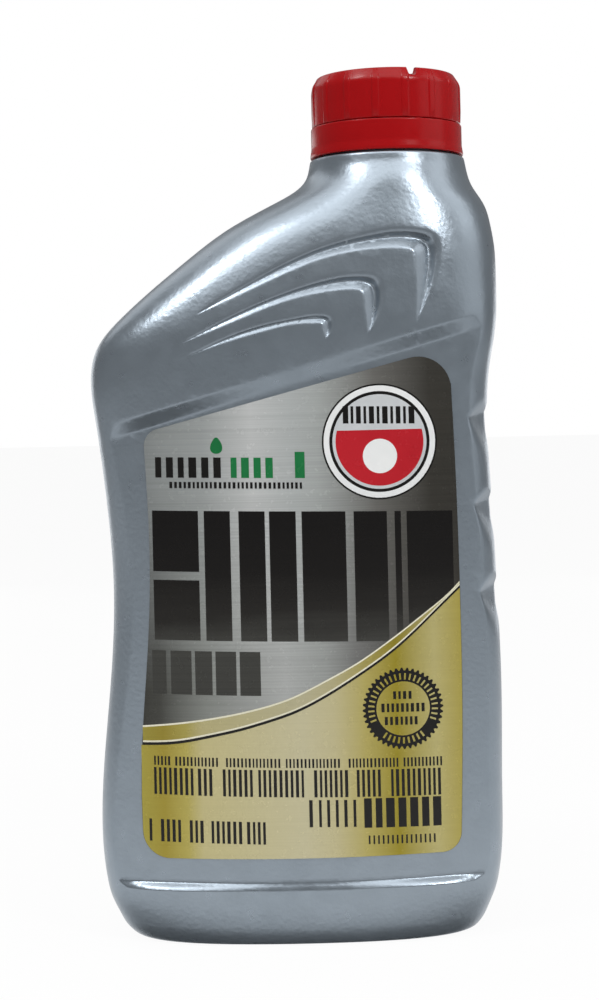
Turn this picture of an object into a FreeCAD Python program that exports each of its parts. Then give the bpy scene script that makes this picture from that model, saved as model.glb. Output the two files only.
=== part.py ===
import FreeCAD, Part
import math
import os
from FreeCAD import Vector

# One-quart motor oil bottle: a blow-moulded body with an offset screw neck, a moulded screw cap
# with its tamper band and foam liner, and a film label on the front and the back.
# Millimetres. The front faces -y, x runs to the right seen from the front, z is up.
# The origin is on the table under the middle of the body.

# Body
body_width = 108.0
body_depth = 60.0
wall = 1.2
crown = 4.5                 # how much the front and back fall away towards the sides
squareness = 5.5            # exponent of the rounded-rectangle section, 2 is an ellipse
foot_height = 15.0          # the sides round in to the base over this height
hip_height = 36.0
waist_height = 92.0         # narrowest place, on the left side
waist_inset = 4.7
grip_height = 135.0         # narrowest place, on the right side
grip_inset = 3.5
shoulder_height = 148.0     # the slanted shoulder starts here

# Base
push_up = 2.5               # the middle of the base is raised by this
push_up_margin = 9.0

# Neck and its screw finish
neck_x = 26.0
neck_root_radius = 21.2
ledge_height = 203.9        # top of the shoulder, where the finish starts
ledge_chamfer = 0.6
lip_height = 222.2
lip_round = 0.7
finish_radius = 17.2
bore_radius = 15.4

# Screw thread of the 38 mm finish
thread_pitch = 4.23
neck_thread_turns = 1.5
cap_thread_turns = 1.25
thread_depth = 1.1
thread_root_width = 1.9
thread_crest_width = 0.9
thread_clearance = 0.4      # between a thread's crest and the wall that it faces
thread_top_gap = 1.5        # from the lip down to the centre line of the ridge

# Bead on the neck that holds the tamper band down
bead_depth = 1.3
bead_height = 2.6
bead_top = 212.0
bead_gap = 0.7              # from the bead up to the lower edge of the cap

# Recessed label panel, bounded above by a slanted step and below by a ridge
panel_recess = 0.9
panel_radius = 168.0        # the panel is bowed to this radius and flat up and down
step_height = 143.9         # foot of the step at the middle of the body
step_angle = 15.6
step_band = 3.7             # height of its sloping band
ridge_height = 16.5         # foot of the lower ridge
ridge_band = 1.6

# V-shaped relief grooves on the shoulder, as (outer edge, inner edge) pairs from tail to hook
groove_depth = 0.30         # depth as a share of the groove's width
large_groove_tips = ((-24.7, 161.7), (31.3, 158.7))
large_groove = (
    ((-8.6, 170.7), (-7.5, 168.6)),
    ((7.7, 178.0), (9.0, 174.6)),
    ((21.4, 181.9), (22.0, 176.6)),
    ((30.7, 182.9), (28.9, 176.8)),
    ((37.4, 180.6), (31.0, 176.2)),
    ((38.0, 175.2), (31.3, 173.8)),
    ((36.0, 167.6), (31.6, 168.0)),
)
middle_groove_tips = ((-29.4, 154.0), (18.7, 155.4))
middle_groove = (
    ((-15.5, 161.4), (-14.6, 159.6)),
    ((-2.1, 167.2), (-1.2, 164.6)),
    ((9.4, 170.5), (9.8, 166.5)),
    ((16.6, 171.0), (15.0, 166.6)),
    ((21.5, 169.5), (16.8, 165.7)),
    ((22.1, 165.2), (17.3, 163.4)),
    ((20.9, 159.9), (17.9, 159.6)),
)
small_groove_tips = ((-27.8, 150.5), (7.9, 154.4))
small_groove = (
    ((-16.6, 155.6), (-15.7, 154.3)),
    ((-6.6, 158.8), (-5.8, 156.9)),
    ((1.6, 160.4), (1.8, 158.2)),
    ((5.4, 160.6), (4.8, 158.4)),
    ((8.4, 159.7), (6.4, 158.0)),
    ((8.9, 157.7), (6.8, 157.0)),
    ((8.5, 155.9), (7.2, 156.0)),
)

# Finger notches down the right side
notch_count = 3
notch_pitch = 22.6
first_notch_height = 134.2
notch_depth = 1.1
notch_reach = 6.3           # how far its point comes in from the side, on the front
notch_bend = 14.0           # the floor turns off across the corner this far from the middle
notch_rise = 1.3            # top of the floor above the point
notch_drop = 4.4            # bottom of the floor below the point
notch_upper_slope = 1.5     # rise of the upper flank for each millimetre outwards
notch_lower_slope = 3.2

# Cap
cap_wall = 1.3
cap_top_thickness = 1.3
cap_rim_height = 1.4        # the rim stands above the flat top
cap_rim_width = 1.3
cap_chamfer_height = 3.0
cap_chamfer_inset = 1.5
grip_rib_count = 16
grip_rib_width = 1.8
grip_rib_height = 0.3
grip_rib_turn = 12.2        # turns the first rib off the x axis
rim_notch_width = 2.2
rim_notch_depth = 1.9
rim_notch_turn = -71.0      # anticlockwise from the x axis, seen from above
liner_thickness = 1.0
liner_clearance = 0.3

# Tamper band, still joined to the cap by its bridges
tear_gap = 0.3
band_height = 8.0
band_flare = 0.3
band_clearance = 0.5        # round the bead of the neck
bridge_count = 8
bridge_width = 1.4
bridge_gap = 0.05

# Labels
label_thickness = 0.2
glue_thickness = 0.06
label_left_edge = ((-41.6, 22.7), (-41.9, 44.0), (-40.0, 70.0), (-38.5, 95.0), (-39.5, 132.0))
label_right_edge = ((40.0, 22.7), (41.1, 58.0), (41.1, 95.0), (40.7, 120.0), (39.6, 152.4))
label_corner_radii = (7.0, 5.0, 8.5, 4.5)   # from the lower left, anticlockwise

section_points = 48


def body_sections():
    """Height, left edge, right edge, half depth, squareness and crown, from the base up."""
    side = body_width / 2
    deep = body_depth / 2
    root = neck_root_radius
    top = ledge_height
    return (
        (0.0, 8.6 - side, side - 9.0, deep - 3.0, squareness - 1.2, crown),
        (foot_height * 0.17, 6.2 - side, side - 7.2, deep - 1.7, squareness - 0.9, crown),
        (foot_height * 0.40, 4.4 - side, side - 5.7, deep - 0.8, squareness - 0.5, crown),
        (foot_height * 0.67, 2.6 - side, side - 4.1, deep - 0.3, squareness - 0.2, crown),
        (foot_height, 1.4 - side, side - 2.9, deep, squareness, crown),
        (hip_height, 0.5 - side, side - 1.7, deep, squareness, crown),
        ((hip_height + waist_height) / 2, 3.1 - side, side - 1.3, deep, squareness, crown),
        (waist_height, waist_inset - side, side - 2.0, deep, squareness, crown),
        ((waist_height + grip_height) / 2, 3.4 - side, side - 2.8, deep, squareness, crown),
        (grip_height, 0.9 - side, side - grip_inset, deep, squareness, crown),
        (shoulder_height, -side, side - 2.5, deep, squareness, crown),
        (top - 48.6, 2.2 - side, side - 1.1, deep, squareness - 0.3, crown - 0.3),
        (top - 41.1, 8.7 - side, side - 0.2, deep - 0.5, squareness - 0.9, crown - 0.8),
        (top - 33.6, 17.1 - side, side, deep - 1.4, squareness - 1.5, crown - 1.5),
        (top - 25.6, 26.9 - side, side, deep - 2.6, squareness - 2.1, crown - 2.4),
        (top - 18.1, 37.2 - side, side - 0.9, deep - 4.2, squareness - 2.7, crown - 3.4),
        (top - 12.6, neck_x - root - 11.5, neck_x + root + 4.3, root + 2.7, 2.4, 0.5),
        (top - 8.4, neck_x - root - 4.0, neck_x + root + 1.8, root + 1.3, 2.1, 0.1),
        (top - 5.4, neck_x - root - 1.0, neck_x + root + 0.6, root + 0.5, 2.0, 0.0),
        (top - 2.7, neck_x - root, neck_x + root, root, 2.0, 0.0),
        (top, neck_x - root + 0.5, neck_x + root - 0.5, root - 0.5, 2.0, 0.0),
    )


def section_wire(height, left, right, half_depth, power, fall):
    """Closed curve of one level section: a rounded rectangle with bowed front and back."""
    middle = (left + right) / 2
    reach = (right - left) / 2
    points = []
    for number in range(section_points):
        turn = 2 * math.pi * number / section_points
        c = math.cos(turn)
        s = math.sin(turn)
        scale = (abs(c) ** power + abs(s) ** power) ** (-1 / power)
        across = s * scale
        bowed_depth = half_depth - fall * across ** 2
        points.append(Vector(middle - reach * across, bowed_depth * c * scale, height))
    curve = Part.BSplineCurve()
    curve.interpolate(Points=points, PeriodicFlag=True, Parameters=list(range(section_points + 1)))
    return Part.Wire(curve.toShape())


def front_half(inset):
    """Front half of the plain body, brought in by inset all round."""
    wires = []
    for height, left, right, half_depth, power, fall in body_sections():
        wires.append(section_wire(height, left + inset, right - inset, half_depth - inset, power, fall))
    whole = Part.makeLoft(wires, True, False)
    size = 2 * body_width
    front = Part.makeBox(2 * size, size, 2 * size, Vector(-size, -size, -size / 2))
    return whole.common(front)


def point_on_front(form, x, height):
    """The point of a form's front surface at one place in the front view."""
    surface = max(form.Faces, key=lambda face: face.Area).Surface
    ray = Part.Line(Vector(x, -body_depth, height), Vector(x, 0, height))
    hits = surface.intersect(ray)[0]
    return Vector(x, min(hit.Y for hit in hits), height)


def solid_of(faces):
    shell = Part.makeShell(faces)
    shell.sewShape()
    solid = Part.Solid(shell)
    if solid.Volume < 0:
        solid.reverse()
    return solid


def polygon_face(corners):
    return Part.Face(Part.makePolygon(corners + corners[:1]))


def spline_through(points, parameters):
    curve = Part.BSplineCurve()
    curve.interpolate(Points=points, Parameters=parameters)
    return curve


def three_sided(first, second, third, stations):
    """Long solid of three-cornered section; each corner runs smoothly through its own points."""
    parameters = [0.0]
    for i in range(1, len(second)):
        parameters.append(parameters[-1] + (second[i] - second[i - 1]).Length)
    corners = [spline_through(row, parameters) for row in (first, second, third)]
    wires = []
    for number in range(stations + 1):
        place = parameters[-1] * number / stations
        triangle = [curve.value(place) for curve in corners]
        wires.append(Part.makePolygon(triangle + triangle[:1]))
    return Part.makeLoft(wires, True, False)


def step_at(x):
    return step_height + x * math.tan(math.radians(step_angle))


def ridge_at(x):
    """The ridge runs level; step_at gives the step the same form."""
    return ridge_height


def panel_front(x, inset):
    """The y of the panel's floor, which is part of an upright cylinder so that a film lies flat on it."""
    middle = inset + panel_recess - body_depth / 2
    radius = panel_radius - inset
    return middle + radius - math.sqrt(radius ** 2 - x ** 2)


def panel_tool(inset):
    """What lies in front of the panel's floor, between the ridge and the step."""
    reach = body_width
    slab = polygon_face([
        Vector(-reach, -reach, ridge_height),
        Vector(reach, -reach, ridge_height),
        Vector(reach, -reach, step_at(reach)),
        Vector(-reach, -reach, step_at(-reach)),
    ]).extrude(Vector(0, reach, 0))
    radius = panel_radius - inset
    drum = Part.makeCylinder(radius, 4 * reach, Vector(0, panel_front(0, inset) + radius, -reach))
    return slab.cut(drum)


def band_tool(form, inset, foot_of, rise):
    """Wedge that slopes an end of the panel from its floor out to the surface of the body."""
    feet = []
    brows = []
    outsides = []
    count = 9
    for number in range(count):
        x = (number / (count - 1) - 0.5) * (body_width - 10.0)
        low = foot_of(x)
        floor = panel_front(x, inset) + 0.03
        depth = max(panel_recess, floor - point_on_front(form, x, low + rise).y)
        brow = floor - 1.3 * depth
        feet.append(Vector(x, floor, low))
        brows.append(Vector(x, brow, low + 1.3 * rise))
        outsides.append(Vector(x, brow - 1.0, low - rise * 0.1))
    return three_sided(feet, brows, outsides, 12)


def tip_pair(tip, neighbour):
    """A pair drawn together at the tip of a groove."""
    outer, inner = neighbour
    x = (outer[0] - inner[0]) * 0.02
    z = (outer[1] - inner[1]) * 0.02
    return (tip[0] + x, tip[1] + z), (tip[0] - x, tip[1] - z)


def groove_tool(form, tips, pairs):
    """V-section crescent that runs out to a point at both ends."""
    outers = []
    valleys = []
    inners = []
    for outer_edge, inner_edge in (tip_pair(tips[0], pairs[0]), *pairs, tip_pair(tips[1], pairs[-1])):
        outer = point_on_front(form, *outer_edge)
        inner = point_on_front(form, *inner_edge)
        valley = (outer + inner) / 2
        valley.y += groove_depth * (outer - inner).Length
        outers.append(outer + (outer - valley) * 0.3)
        valleys.append(valley)
        inners.append(inner + (inner - valley) * 0.3)
    return three_sided(outers, valleys, inners, 24)


def notch_tool(form, height, inset):
    """Finger notch: level across the side, then turned across the corner to a point on the front."""
    side = form.common(Part.makeLine(Vector(0, -0.01, height), Vector(body_width, -0.01, height)))
    side_x = side.BoundBox.XMax
    floor = side_x - notch_depth
    reach = 20.0
    outline = [
        (floor, height + notch_rise),
        (floor + reach, height + notch_rise + reach * notch_upper_slope),
        (floor + reach, height - notch_drop - reach * notch_lower_slope),
        (floor + 0.3, height - notch_drop),
    ]
    front = [Vector(x, -notch_bend, z) for x, z in outline]
    middle = [Vector(x, 0.5, z) for x, z in outline]
    point = point_on_front(form, side_x + inset - notch_reach, height)
    faces = [polygon_face(middle)]
    for i in range(4):
        j = (i + 1) % 4
        faces.append(polygon_face([front[i], front[j], middle[j], middle[i]]))
        faces.append(polygon_face([front[i], front[j], point]))
    return solid_of(faces)


def half_body(inset):
    """Front half of the body without its screw finish; inset 0 is the outside, wall the inside."""
    form = front_half(inset)
    tools = [panel_tool(inset)]
    tools.append(band_tool(form, inset, step_at, step_band))
    tools.append(band_tool(form, inset, ridge_at, -ridge_band))
    for tips, pairs in (
        (large_groove_tips, large_groove),
        (middle_groove_tips, middle_groove),
        (small_groove_tips, small_groove),
    ):
        tools.append(groove_tool(form, tips, pairs))
    for number in range(notch_count):
        tools.append(notch_tool(form, first_notch_height - number * notch_pitch, inset))
    for tool in tools:
        form = form.cut(tool)
    return form


def whole_body(inset):
    half = half_body(inset)
    return half.fuse(half.mirror(Vector(0, 0, 0), Vector(0, 1, 0)))


def push_up_tool(inset):
    """Raises the middle of the base; it tapers a little as it goes up."""
    height, left, right, half_depth, power, fall = body_sections()[0]
    margin = push_up_margin - inset
    top = push_up + inset
    wires = []
    for level, taper in ((-1.0, 0.0), (top, 1.5)):
        gap = margin + taper
        wires.append(section_wire(level, left + gap, right - gap, half_depth - gap, power, fall))
    return Part.makeLoft(wires, True, True)


def turned(profile):
    """Solid turned from (radius, height) points about the axis of the neck."""
    points = [Vector(neck_x + radius, 0, height) for radius, height in profile]
    return polygon_face(points).revolve(Vector(neck_x, 0, 0), Vector(0, 0, 1), 360)


def thread_ridge(wall_radius, depth, low, turns):
    """Helical ridge on a wall; a positive depth stands out from it and a negative one stands in."""
    helix = Part.makeHelix(thread_pitch, turns * thread_pitch, wall_radius)
    root = wall_radius - math.copysign(0.2, depth)
    crest = wall_radius + depth
    half_root = thread_root_width / 2
    half_crest = thread_crest_width / 2
    profile = Part.makePolygon([
        Vector(root, 0, -half_root),
        Vector(crest, 0, -half_crest),
        Vector(crest, 0, half_crest),
        Vector(root, 0, half_root),
        Vector(root, 0, -half_root),
    ])
    ridge = Part.Wire(helix.Edges).makePipeShell([profile], True, True)
    ridge.translate(Vector(neck_x, 0, low))
    return ridge


def neck_thread_low():
    return lip_height - thread_top_gap - neck_thread_turns * thread_pitch


def finish():
    """Screw finish of the neck, solid inside: root, bead, thread and rounded lip."""
    bead = finish_radius + bead_depth
    post = turned([
        (0, ledge_height - 4.0),
        (finish_radius, ledge_height - 4.0),
        (finish_radius, bead_top - bead_height),
        (bead, bead_top - bead_height),
        (bead, bead_top - bead_height + 0.8),
        (finish_radius, bead_top),
        (finish_radius, lip_height - lip_round),
        (finish_radius - lip_round, lip_height),
        (0, lip_height),
    ])
    return post.fuse(thread_ridge(finish_radius, thread_depth, neck_thread_low(), neck_thread_turns))


def ledge_trim():
    """Ring that takes the sharp edge off the top of the neck root."""
    rim = neck_root_radius - 0.5
    return turned([
        (rim - ledge_chamfer, ledge_height),
        (rim + ledge_chamfer, ledge_height - 2 * ledge_chamfer),
        (rim + ledge_chamfer, ledge_height),
    ])


def neck_hollow():
    inner_root = neck_root_radius - 0.5 - wall
    top = lip_height + 1.0
    return turned([
        (0, ledge_height - 6.0),
        (inner_root - 0.3, ledge_height - 6.0),
        (inner_root - 0.3, ledge_height - wall - 1.6),
        (bore_radius, ledge_height + wall),
        (bore_radius, top),
        (0, top),
    ])


def bottle():
    outside = whole_body(0.0).cut(push_up_tool(0.0)).cut(ledge_trim()).fuse(finish())
    inside = whole_body(wall)
    reach = body_width
    below = Part.makeBox(2 * reach, 2 * reach, reach + wall, Vector(-reach, -reach, -reach))
    top = ledge_height - 2 * wall
    above = Part.makeBox(2 * reach, 2 * reach, reach, Vector(-reach, -reach, top))
    inside = inside.cut(below).cut(above).cut(push_up_tool(wall))
    return outside.cut(inside).cut(neck_hollow())


def cap_inner_radius():
    return finish_radius + thread_depth + thread_clearance


def cap_bottom():
    return bead_top + bead_gap


def cap_top():
    return lip_height + liner_thickness + cap_top_thickness + cap_rim_height


def grip_rib(number):
    """One upright rib of the grip, as high as the cap."""
    inner = cap_inner_radius() + cap_wall / 2
    outer = cap_inner_radius() + cap_wall + grip_rib_height
    bottom = cap_bottom()
    rib = Part.makeBox(
        outer - inner, grip_rib_width, cap_top() - bottom, Vector(neck_x + inner, -grip_rib_width / 2, bottom))
    rib.rotate(Vector(neck_x, 0, 0), Vector(0, 0, 1), grip_rib_turn + 360 / grip_rib_count * number)
    return rib


def cap():
    inner = cap_inner_radius()
    outer = inner + cap_wall
    bottom = cap_bottom()
    top = cap_top()
    plate_top = top - cap_rim_height
    plate_bottom = plate_top - cap_top_thickness
    rim_outer = outer - cap_chamfer_inset
    shell = turned([
        (inner, bottom),
        (outer, bottom),
        (outer, top - cap_chamfer_height),
        (rim_outer, top),
        (rim_outer - cap_rim_width, top),
        (rim_outer - cap_rim_width - 0.4, plate_top),
        (0, plate_top),
        (0, plate_bottom),
        (inner, plate_bottom),
    ])
    trim = turned([
        (outer + 2 * grip_rib_height, top - cap_chamfer_height * 0.55),
        (outer + 2 * grip_rib_height, top + 1.0),
        (rim_outer - 0.3, top + 1.0),
        (rim_outer + grip_rib_height, top),
    ])
    ribs = [grip_rib(number).cut(trim) for number in range(grip_rib_count)]
    body = shell.fuse(ribs)
    low = bottom + thread_root_width / 2 + 0.3
    ridge = thread_ridge(inner, -thread_depth, low, cap_thread_turns)
    rise = low - neck_thread_low() - thread_pitch / 2
    ridge.rotate(Vector(neck_x, 0, 0), Vector(0, 0, 1), 360 * rise / thread_pitch)
    notch = Part.makeBox(
        outer, rim_notch_width, rim_notch_depth + 1.0,
        Vector(neck_x + outer / 2, -rim_notch_width / 2, top - rim_notch_depth))
    notch.rotate(Vector(neck_x, 0, 0), Vector(0, 0, 1), rim_notch_turn)
    return body.fuse(ridge).cut(notch)


def cap_liner():
    radius = cap_inner_radius() - liner_clearance
    return Part.makeCylinder(radius, liner_thickness, Vector(neck_x, 0, lip_height))


def tamper_band():
    """Ring under the cap, with a catch that hooks below the bead and small bridges on top."""
    top = cap_bottom() - tear_gap
    bottom = top - band_height
    outer = cap_inner_radius() + cap_wall + 0.3
    inner = finish_radius + bead_depth + band_clearance
    catch_top = bead_top - bead_height - 0.4
    catch = finish_radius + 0.5
    ring = turned([
        (inner, bottom),
        (outer + band_flare, bottom),
        (outer + band_flare, bottom + 0.6),
        (outer, bottom + 2.5),
        (outer, top),
        (inner, top),
        (inner, catch_top),
        (catch, catch_top),
        (inner, catch_top - 1.8),
    ])
    bridges = []
    for number in range(bridge_count):
        bridge = Part.makeBox(
            0.8, bridge_width, tear_gap - bridge_gap + 0.2,
            Vector(neck_x + outer - 0.9, -bridge_width / 2, top - 0.2))
        bridge.rotate(Vector(neck_x, 0, 0), Vector(0, 0, 1), 360 / bridge_count * (number + 0.5))
        bridges.append(bridge)
    return ring.fuse(bridges)


def label_side(places):
    return spline_through([Vector(x, 0, z) for x, z in places], list(range(len(places)))).toShape()


def front_label():
    """Film on the panel's floor, rounded at its corners; its sides follow the body."""
    corners = (label_left_edge[0], label_right_edge[0], label_right_edge[-1], label_left_edge[-1])
    lower_left, lower_right, upper_right, upper_left = [Vector(x, 0, z) for x, z in corners]
    outline = Part.Wire([
        label_side(label_left_edge),
        Part.makeLine(upper_left, upper_right),
        label_side(label_right_edge[::-1]),
        Part.makeLine(lower_right, lower_left),
    ])
    block = Part.Face(outline).extrude(Vector(0, -body_depth, 0))
    for corner, radius in zip(corners, label_corner_radii):
        edge = min(block.Edges, key=lambda e: abs(e.CenterOfMass.y + body_depth / 2) * 9
                   + math.hypot(e.CenterOfMass.x - corner[0], e.CenterOfMass.z - corner[1]))
        block = block.makeFillet(radius, [edge])
    middle = panel_front(0, 0.0) + panel_radius
    height = 2 * upper_right.z
    back = panel_radius + glue_thickness
    film_outside = Part.makeCylinder(back + label_thickness, height, Vector(0, middle, 0))
    film_inside = Part.makeCylinder(back, height, Vector(0, middle, 0))
    return block.common(film_outside.cut(film_inside))


def back_label():
    return front_label().mirror(Vector(0, 0, 0), Vector(0, 1, 0))


os.makedirs("parts", exist_ok=True)
for name, make in (
    ("bottle", bottle),
    ("cap", cap),
    ("cap_liner", cap_liner),
    ("tamper_band", tamper_band),
    ("front_label", front_label),
    ("back_label", back_label),
):
    shape = make()
    shape.exportStep("parts/" + name + ".step")
    print(name, shape.isValid(), len(shape.Solids), round(shape.Volume / 1000, 2), "cm3")
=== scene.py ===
import bpy
import bmesh
import math
import numpy as np
from mathutils import Matrix, Vector
from mathutils.bvhtree import BVHTree


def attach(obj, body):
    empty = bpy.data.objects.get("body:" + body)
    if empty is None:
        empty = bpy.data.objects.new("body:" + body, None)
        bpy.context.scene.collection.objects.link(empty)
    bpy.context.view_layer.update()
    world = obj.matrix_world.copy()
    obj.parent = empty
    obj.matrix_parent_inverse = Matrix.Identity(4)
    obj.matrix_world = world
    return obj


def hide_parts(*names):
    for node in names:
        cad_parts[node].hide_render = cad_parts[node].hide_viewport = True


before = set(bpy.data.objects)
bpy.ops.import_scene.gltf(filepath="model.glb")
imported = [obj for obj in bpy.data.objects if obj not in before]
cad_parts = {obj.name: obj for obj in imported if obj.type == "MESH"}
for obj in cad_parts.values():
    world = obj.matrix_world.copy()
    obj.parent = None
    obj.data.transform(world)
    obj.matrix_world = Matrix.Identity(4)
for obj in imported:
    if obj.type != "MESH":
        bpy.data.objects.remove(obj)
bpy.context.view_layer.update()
mm = 0.001
print("stage: frame loaded", sorted(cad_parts))


# selecting, making and finishing pieces

def deselectAll():
    if bpy.context.object and bpy.context.object.mode != "OBJECT":
        bpy.ops.object.mode_set(mode="OBJECT")
    bpy.ops.object.select_all(action="DESELECT")


def pick(piece):
    deselectAll()
    piece.select_set(True)
    bpy.context.view_layer.objects.active = piece


def openAll(piece):  # into edit mode with everything selected
    pick(piece)
    bpy.ops.object.mode_set(mode="EDIT")
    bpy.ops.mesh.select_all(action="SELECT")


def closeAll():
    bpy.ops.object.mode_set(mode="OBJECT")


def modify(piece, kind, **settings):  # adds one modifier and applies it
    modifier = piece.modifiers.new(kind, kind)
    for name, value in settings.items():
        setattr(modifier, name, value)
    pick(piece)
    bpy.ops.object.modifier_apply(modifier=modifier.name)


def linked(name, data):
    thing = bpy.data.objects.new(name, data)
    bpy.context.scene.collection.objects.link(thing)
    return thing


def quads(first, second, closed=True):  # faces between two rows of points
    count = len(first)
    return [(first[k], first[(k + 1) % count], second[(k + 1) % count], second[k])
            for k in range(count if closed else count - 1)]


def newPiece(name, points, faces):  # from points in millimetres, with its faces turned outwards
    mesh = bpy.data.meshes.new(name)
    mesh.from_pydata([(x * mm, y * mm, z * mm) for x, y, z in points], [], faces)
    piece = linked(name, mesh)
    openAll(piece)
    bpy.ops.mesh.normals_make_consistent(inside=False)
    closeAll()
    return piece


def newBar(x, y, z):  # a bar of this size in millimetres, about the origin
    deselectAll()
    bpy.ops.mesh.primitive_cube_add(size=1.0)
    bar = bpy.context.object
    bar.data.transform(Matrix.Diagonal((x * mm, y * mm, z * mm, 1.0)))
    return bar


def joined(pieces):
    deselectAll()
    for piece in pieces:
        piece.select_set(True)
    bpy.context.view_layer.objects.active = pieces[0]
    bpy.ops.object.join()
    return pieces[0]


def finishPiece(piece, material, angle, body, node=None):
    piece.data.materials.clear()
    piece.data.materials.append(material)
    pick(piece)
    bpy.ops.object.shade_smooth_by_angle(angle=math.radians(angle))
    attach(piece, body)
    if node:
        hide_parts(node)
    print("stage:", piece.name, len(piece.data.polygons), sum(len(f.vertices) - 2 for f in piece.data.polygons))


# camera of the photograph

photoView = {
    "place": (0.00096, -0.512, 0.1394),
    "lens": 68.18,
    "drop": -0.0993,  # it looks level at the shoulder but frames the whole bottle
    "roll": 1.3,
}

cameraData = bpy.data.cameras.new("photoCamera")
cameraData.lens = photoView["lens"]
cameraData.shift_y = photoView["drop"]
cameraData.clip_start = 0.01
cameraData.clip_end = 50.0
photoCamera = linked("photoCamera", cameraData)
photoCamera.location = photoView["place"]
photoCamera.rotation_euler = (math.radians(90.0), math.radians(photoView["roll"]), 0.0)
bpy.context.scene.camera = photoCamera
bpy.context.scene.view_settings.view_transform = "Standard"


# nodes that the materials share

def feed(tree, node, sockets):  # each socket gets its value, or the output that feeds it
    for name, value in sockets.items():
        if isinstance(value, bpy.types.NodeSocket):
            tree.links.new(value, node.inputs[name])
        else:
            node.inputs[name].default_value = value
    return node


def made(tree, kind, sockets, **settings):
    node = tree.nodes.new("ShaderNode" + kind)
    for name, value in settings.items():
        setattr(node, name, value)
    return feed(tree, node, sockets)


def newMaterial(name):
    material = bpy.data.materials.new(name)
    material.use_nodes = True
    tree = material.node_tree
    return material, tree, tree.nodes["Principled BSDF"], made(tree, "TexCoord", {}).outputs["Object"]


def mapped(tree, source, scale):
    return made(tree, "Mapping", {"Vector": source, "Scale": scale}).outputs["Vector"]


def noise(tree, source, scale, detail, rough=0.5):
    sockets = {"Vector": source, "Scale": scale, "Detail": detail, "Roughness": rough}
    return made(tree, "TexNoise", sockets).outputs["Fac"]


def ramp(tree, source, stops):
    node = made(tree, "ValToRGB", {"Fac": source})
    band = node.color_ramp
    band.elements[0].position = stops[0][0]
    band.elements[1].position = stops[-1][0]
    for place, colour in stops[1:-1]:
        band.elements.new(place)
    for element, (place, colour) in zip(band.elements, stops):
        element.color = (*colour, 1.0)
    return node.outputs["Color"]


def spread(tree, source, low, high, fromLow=0.0, fromHigh=1.0):
    sockets = {"Value": source, "From Min": fromLow, "From Max": fromHigh, "To Min": low, "To Max": high}
    return made(tree, "MapRange", sockets).outputs["Result"]


def calculated(tree, kind, *values):
    return made(tree, "Math", dict(enumerate(values)), operation=kind).outputs[0]


def blended(tree, share, first, second, kind="MIX"):
    sockets = {"Factor": share, 6: first, 7: second}  # 6 and 7 are its two colours
    return made(tree, "Mix", sockets, data_type="RGBA", blend_type=kind).outputs[2]


def mixedShaders(tree, *values):  # share, first and second shader
    return made(tree, "MixShader", dict(enumerate(values))).outputs[0]


def along(tree, place, axis):
    return made(tree, "SeparateXYZ", {"Vector": place}).outputs[axis]


def tone(red, green, blue):  # a colour as read off a screen, made linear
    return tuple(((c / 255 + 0.055) / 1.055) ** 2.4 if c > 10 else c / 3294 for c in (red, green, blue))


def bump(tree, shader, height, strength, distance):
    node = made(tree, "Bump", {"Height": height, "Strength": strength, "Distance": distance})
    feed(tree, shader, {"Normal": node.outputs["Normal"]})


def plastic(name, look):  # moulded plastic, with a slow drift of colour, a fine grain and orange peel
    material, tree, shader, place = newMaterial(name)
    cloud = noise(tree, place, look["cloud"], 2.0)
    grain = noise(tree, place, look["grain"], 3.0)
    feed(tree, shader, {
        "Base Color": ramp(tree, cloud, [(0.3, look["deep"]), (0.7, look["colour"])]),
        "Roughness": spread(tree, grain, *look["rough"], 0.3, 0.7),
        "Metallic": look["metallic"],
        "Specular IOR Level": look["gloss"],
    })
    bump(tree, shader, noise(tree, place, look["peel"], 2.0, 0.4), look["peelStrength"], look["peelHeight"])
    return material


# bottle

bottleShape = {
    "halfDepth": 30.0,
    "neckX": 26.0,
    "ledge": 203.9,
    "footRound": 1.2,
    "brinkRound": 0.7,
    "panelRecess": 0.9,
    "panelRadius": 168.0,
    "stepHeight": 143.9,
    "stepAngle": 15.6,
    "stepBand": 3.7,
    "ridgeHeight": 16.5,
    "ridgeBand": 1.6,
    "cell": 3.5,  # size of a face before refining
    "refineTimes": 4,
    "tolerance": 0.026,
    "crease": 0.16,  # rounding where walls meet
    "base": (  # inset from the foot and height of each loop under the bottle
        (3.0, 0.0), (8.9, 0.0), (9.2, 0.1), (9.6, 0.6), (10.2, 2.1), (10.6, 2.45), (11.2, 2.5), (24.0, 2.5),
    ),
    "mouth": ((18.0, 0.0), (15.4, 0.0), (15.4, 1.0)),  # radius and depth below the ledge
    "insideInset": 4.2,
    "insideLevels": (
        201.5, 199.0, 195.0, 190.0, 185.0, 178.0, 170.0, 162.0, 155.0, 148.0, 135.0, 113.0, 92.0, 61.0, 30.0,
        15.0, 9.0, 6.0,
    ),
    "finishCut": 0.08,  # the screw finish is cut this far above the ledge and sunk into it
    "finishSunk": 0.6,
}
neckX = bottleShape["neckX"]

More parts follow.
